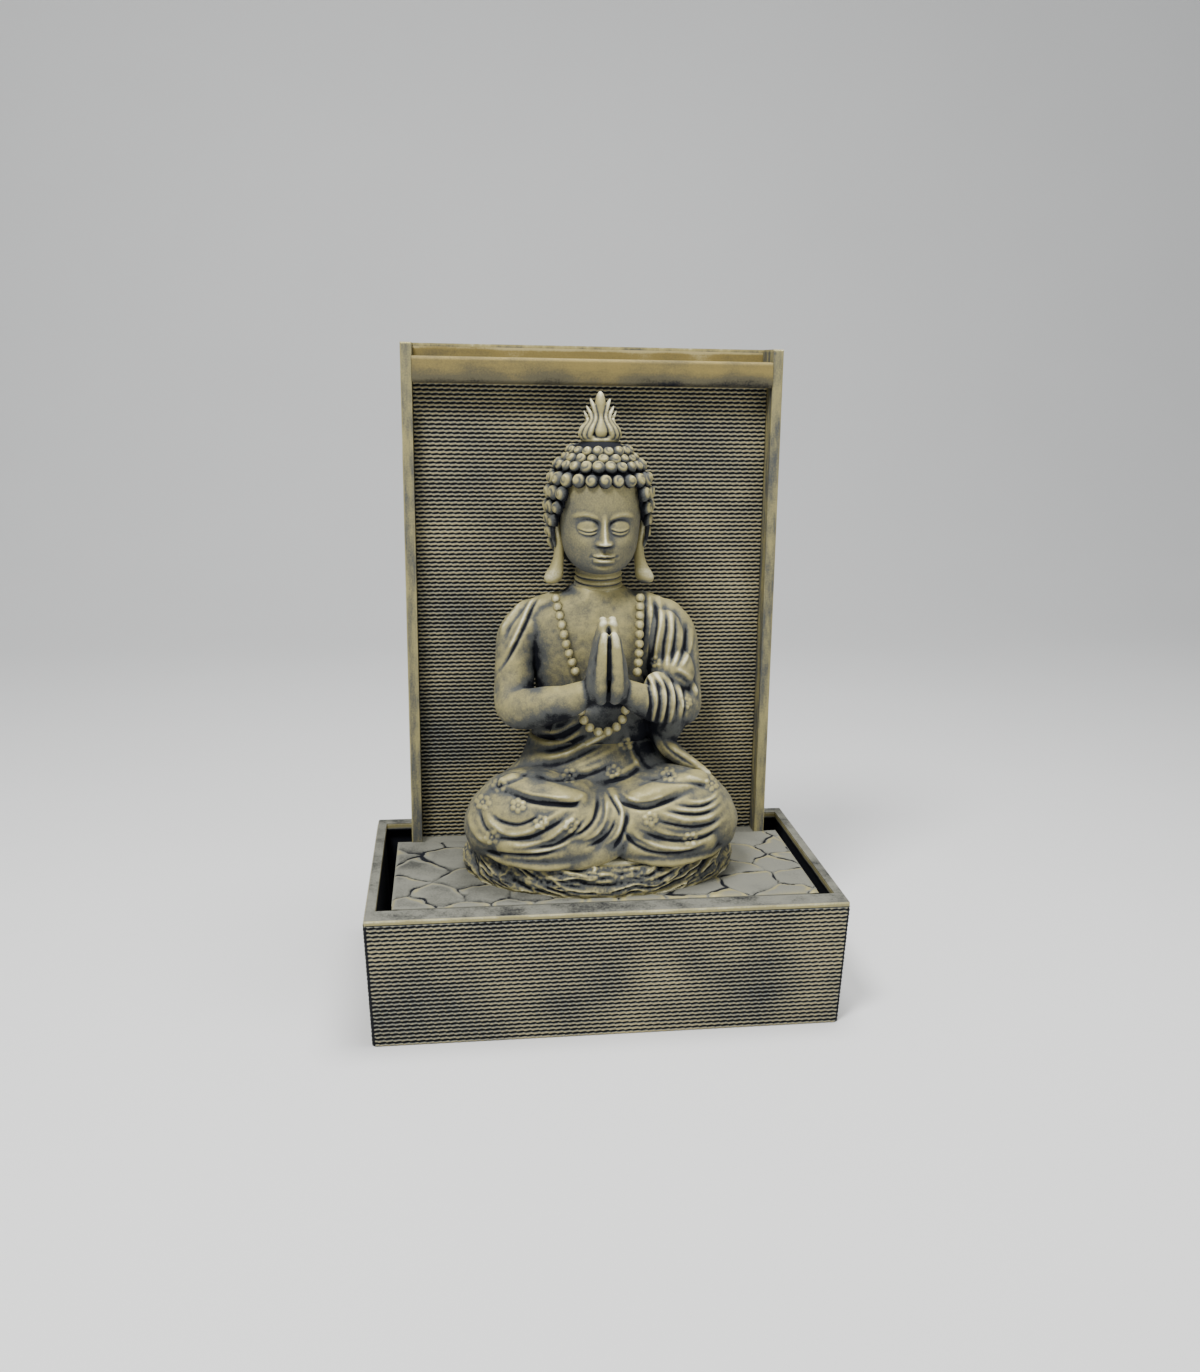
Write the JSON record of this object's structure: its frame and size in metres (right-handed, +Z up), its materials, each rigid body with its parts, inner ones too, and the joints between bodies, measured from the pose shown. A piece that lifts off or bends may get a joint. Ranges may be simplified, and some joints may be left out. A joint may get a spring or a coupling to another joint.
{
  "type": "garden wall fountain",
  "caption": "Garden wall fountain: a rippled water wall with a spill trough and a seated praying figure on a stone deck, over a basin with a pump.",
  "frame": {"origin": "centre of the basin underside, on the ground", "axes": "+X to the right seen from the front, +Y from the front to the back, +Z up"},
  "size_m": [0.5998, 0.3648, 0.84],
  "materials": {
    "basin_resin": "fibreglass, dark paint dry-brushed with old gold over moulded ripples",
    "deck_resin": "fibreglass, grey stone effect with bronze edges",
    "wall_resin": "fibreglass, dark paint dry-brushed with old gold",
    "figure_resin": "cast resin, dark paint dry-brushed with old gold",
    "black_plastic": "moulded, satin",
    "grey_pipe": "extruded pipe",
    "black_rubber": "matt",
    "brass_fittings": "turned, dull",
    "stainless": "plain",
    "ceramic": "ground",
    "magnet": "dark ferrite"
  },
  "bodies": {
    "basin": {"basin_tub": "basin_resin", "drain_bush": "brass_fittings", "drain_seal": "black_rubber", "drain_nut": "brass_fittings", "cable_grommet": "black_rubber", "deck_posts": "grey_pipe", "pump_housing": "black_plastic", "pump_chamber": "black_plastic", "chamber_seal": "black_rubber", "rotor_shaft": "ceramic", "shaft_bushes": "black_rubber", "pump_screws": "stainless", "suction_feet": "black_rubber", "cable_gland": "black_rubber"},
    "rotor": {"impeller": "black_plastic", "rotor_magnet": "magnet"},
    "strainer": {"strainer_cover": "black_plastic"},
    "dial": {"flow_dial": "black_plastic"},
    "plug": {"drain_plug": "black_plastic"},
    "upper": {"deck_plate": "deck_resin", "wall_shell": "wall_resin", "ripple_panel": "wall_resin", "rear_cover": "wall_resin", "rear_cover_screws": "stainless", "spill_trough": "wall_resin", "feed_spigot": "brass_fittings", "feed_seal": "black_rubber", "feed_nut": "brass_fittings", "supply_hose": "black_rubber", "hose_clamp": "stainless", "hose_saddles": "black_rubber", "saddle_screws": "stainless", "wall_bolts": "stainless", "wall_washers": "stainless", "wall_nuts": "stainless", "figure_bolts": "stainless", "figure_washers": "stainless", "figure_base": "figure_resin", "figure_legs": "figure_resin", "figure_torso": "figure_resin", "figure_right_arm": "figure_resin", "figure_left_arm": "figure_resin", "figure_hands": "figure_resin", "figure_head": "figure_resin", "figure_hair": "figure_resin", "figure_ears": "figure_resin", "flame_finial": "figure_resin", "bead_string": "figure_resin"}
  },
  "joints": [
    {"name": "upper_lift", "type": "slide", "parent": "basin", "child": "upper", "axis": [0, 0, 1], "range_m": [0, 0.3]},
    {"name": "rotor_spin", "type": "hinge", "parent": "basin", "child": "rotor", "pos_m": [0, 0.1255, 0.042], "axis": [1, 0, 0], "continuous": true},
    {"name": "strainer_slide", "type": "slide", "parent": "basin", "child": "strainer", "axis": [-1, 0, 0], "range_m": [0, 0.06]},
    {"name": "dial_turn", "type": "hinge", "parent": "strainer", "child": "dial", "pos_m": [-0.04, 0.1255, 0.042], "axis": [1, 0, 0], "range_deg": [0, 90]},
    {"name": "plug_pull", "type": "slide", "parent": "basin", "child": "plug", "axis": [0, 1, 0], "range_m": [0, 0.04]}
  ]
}
